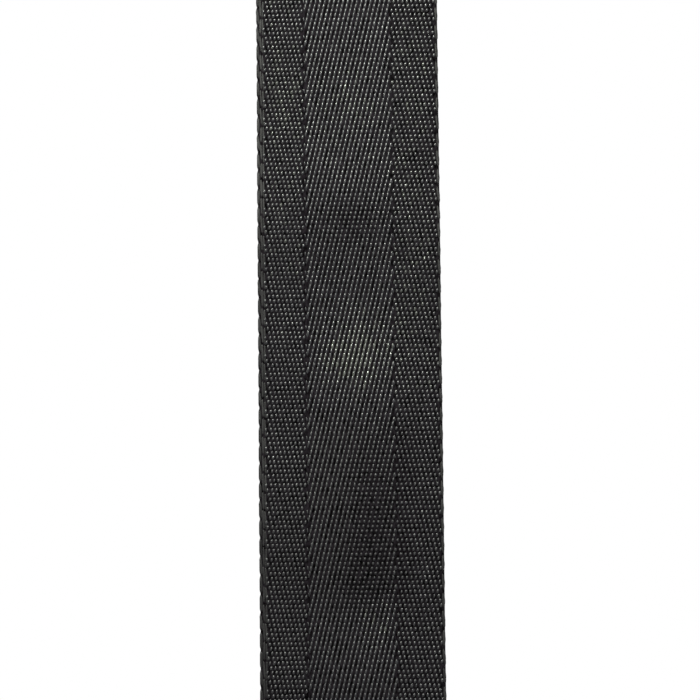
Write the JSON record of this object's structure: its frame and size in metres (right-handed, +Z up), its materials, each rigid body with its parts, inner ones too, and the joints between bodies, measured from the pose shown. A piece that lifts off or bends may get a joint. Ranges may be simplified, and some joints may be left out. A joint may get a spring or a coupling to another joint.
{
  "type": "guitar strap",
  "caption": "Adjustable guitar strap of black seat-belt webbing with leather button-hole ends, hung over a peg.",
  "frame": {"origin": "on the inside of the bend, at its top and midway across the webbing, where a peg carries the strap", "axes": "+Z up, along the hanging strap; +X across the webbing; the front run and its face point to -Y"},
  "size_m": [0.061, 0.0596, 0.7168],
  "materials": {
    "webbing": "satin",
    "leather": "satin",
    "core": "matte",
    "thread": "satin",
    "metal": "satin"
  },
  "bodies": {
    "strap": {"webbing_front_run": "webbing", "webbing_bend": "webbing", "webbing_above_slide": "webbing", "end_a_leather_outer": "leather", "end_a_edge_stitch_outer": "thread", "end_a_box_stitch_outer": "thread", "end_a_leather_inner": "leather", "end_a_edge_stitch_inner": "thread", "end_a_box_stitch_inner": "thread", "end_a_core": "core"},
    "slide": {"slide_frame": "metal", "webbing_through_slide": "webbing", "webbing_bar_fold": "webbing", "bar_fold_stitch": "thread", "webbing_loop_outer": "webbing", "webbing_loop_inner": "webbing"},
    "turn": {"webbing_ring_turn": "webbing"},
    "ring": {"rectangular_ring": "metal"},
    "end_b": {"connector_webbing": "webbing", "end_b_leather_outer": "leather", "end_b_edge_stitch_outer": "thread", "end_b_box_stitch_outer": "thread", "end_b_leather_inner": "leather", "end_b_edge_stitch_inner": "thread", "end_b_box_stitch_inner": "thread", "end_b_core": "core"}
  },
  "joints": [
    {"name": "slide_adjust", "type": "slide", "parent": "strap", "child": "slide", "axis": [0, 0, -1], "range_m": [-0.2, 0.15], "deforming": ["webbing_above_slide"]},
    {"name": "ring_travel", "type": "slide", "parent": "slide", "child": "turn", "axis": [0, 0, -1], "range_m": [-0.075, 0.1], "deforming": ["webbing_loop_outer", "webbing_loop_inner"]},
    {"name": "ring_hinge", "type": "hinge", "parent": "turn", "child": "ring", "pos_m": [0, 0.02385, -0.57], "axis": [1, 0, 0], "range_deg": [-45, 80]},
    {"name": "end_hinge", "type": "hinge", "parent": "ring", "child": "end_b", "pos_m": [0, 0.02385, -0.5905], "axis": [1, 0, 0], "range_deg": [-40, 80]}
  ],
  "couplings": [
    {"joint": "ring_travel", "follows": "slide_adjust", "ratio": -0.5}
  ]
}
